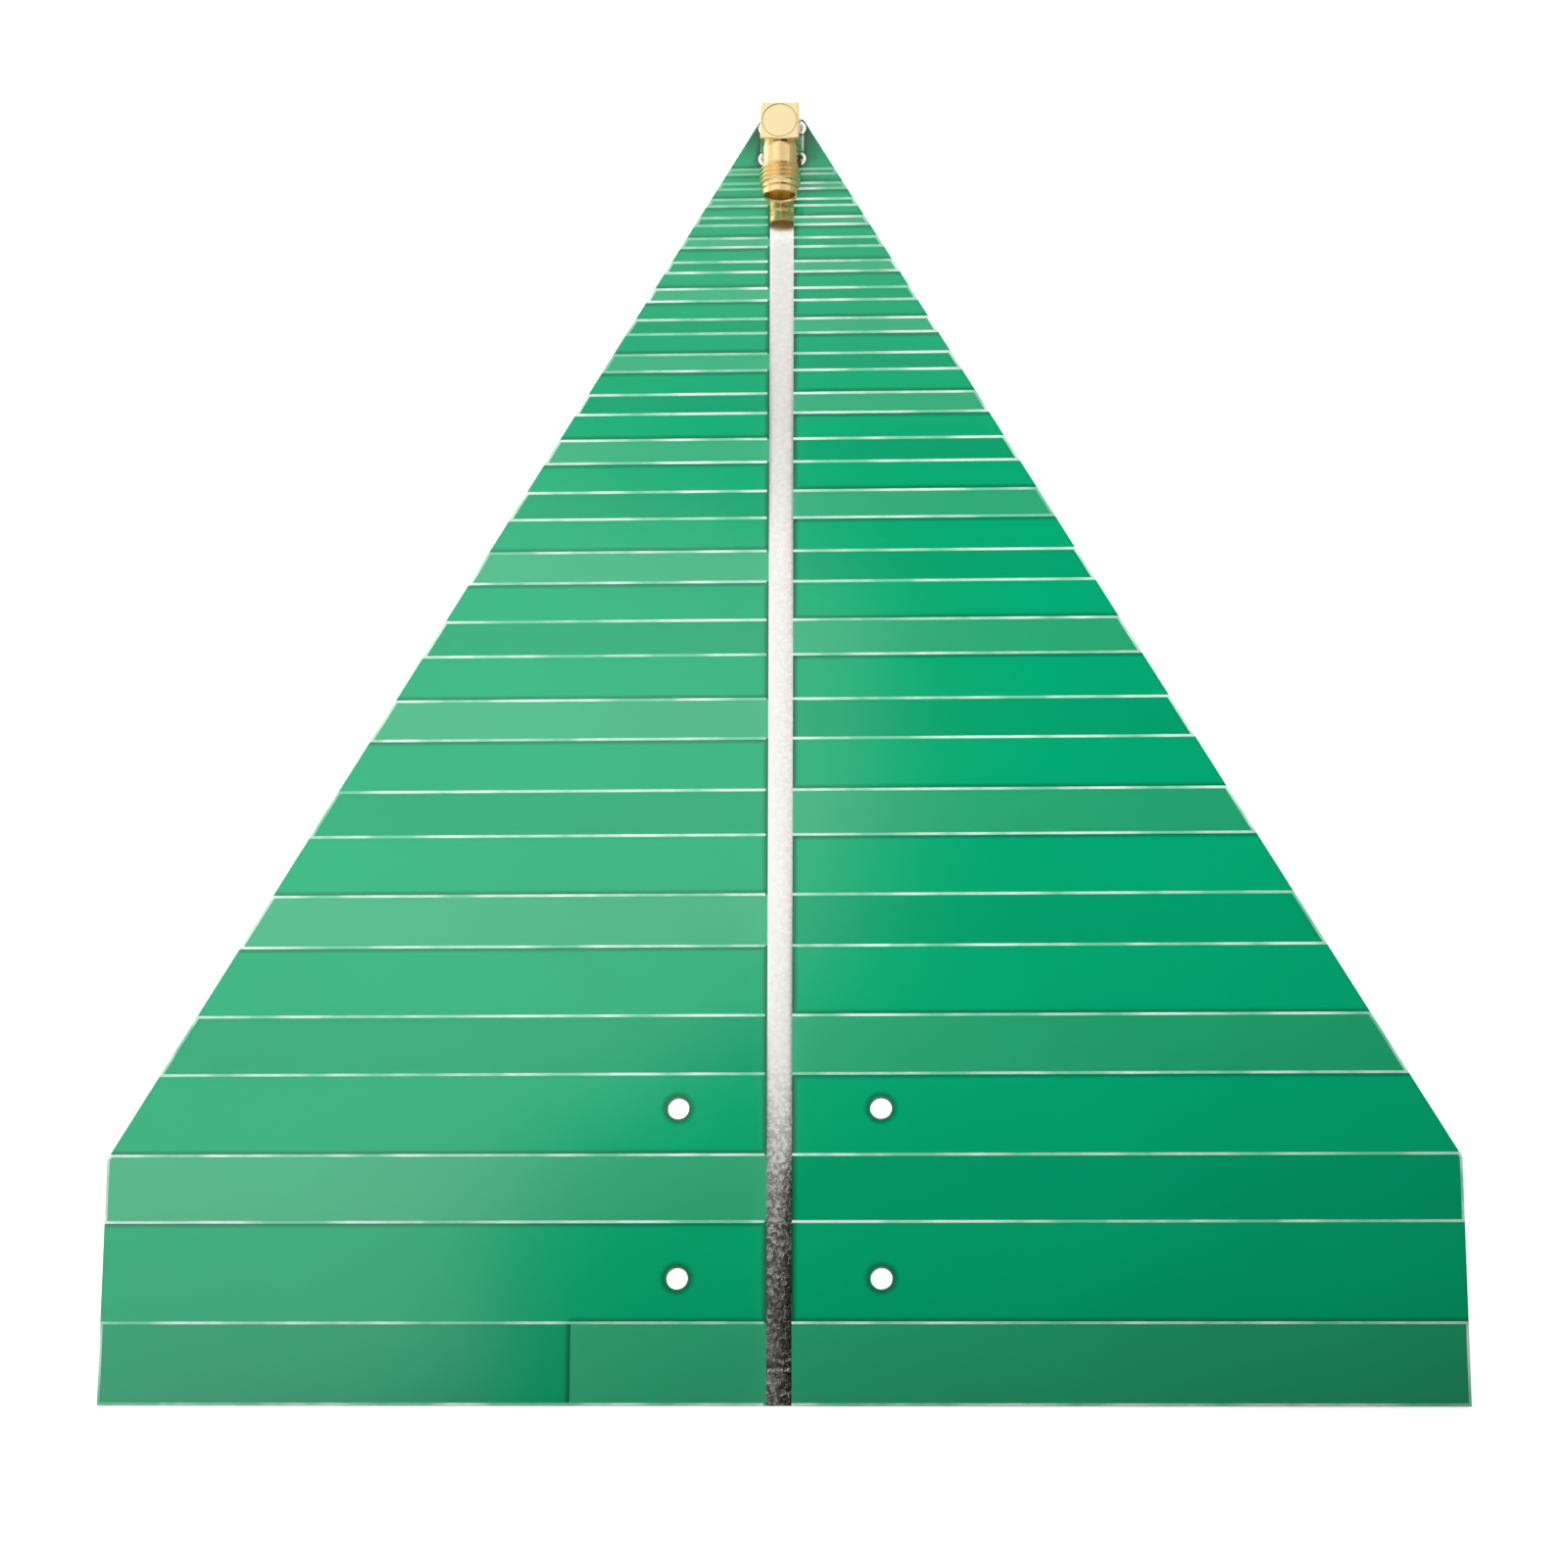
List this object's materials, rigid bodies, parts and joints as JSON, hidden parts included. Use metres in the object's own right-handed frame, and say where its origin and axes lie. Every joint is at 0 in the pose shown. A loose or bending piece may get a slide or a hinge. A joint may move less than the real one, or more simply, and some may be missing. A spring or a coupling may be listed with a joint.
{
  "type": "directional antenna",
  "caption": "Log-periodic antenna etched on a green printed board that narrows to its tip, with white lines round the arms and a gold right-angle threaded jack.",
  "frame": {"origin": "centre of the four fixing holes, on the outer face of the back coat", "axes": "+Z out of the front face, which carries the jack; +Y along the boom to the narrow tip; +X to the right seen from the front"},
  "size_m": [0.2, 0.1992, 0.0121],
  "materials": {
    "laminate": "satin",
    "copper": "matte",
    "solder_mask": "gloss",
    "tin": "gloss",
    "legend_ink": "matte",
    "gold": "polished",
    "insulator": "satin",
    "solder": "gloss"
  },
  "bodies": {
    "root": {"laminate_board": "laminate", "front_copper": "copper", "back_copper": "copper", "leg_hole_plating": "tin", "pin_hole_plating": "tin", "front_solder_mask": "solder_mask", "back_solder_mask": "solder_mask", "front_boom_tin": "tin", "back_boom_tin": "tin", "white_legend": "legend_ink", "jack_block": "gold", "jack_barrel": "gold", "jack_cap": "gold", "barrel_insulator": "insulator", "pin_insulator": "insulator", "socket_contact": "gold", "centre_pin": "gold", "leg_solder_tip_left": "solder", "leg_solder_tip_right": "solder", "leg_solder_boom_left": "solder", "leg_solder_boom_right": "solder", "pin_solder": "solder"}
  },
  "joints": []
}
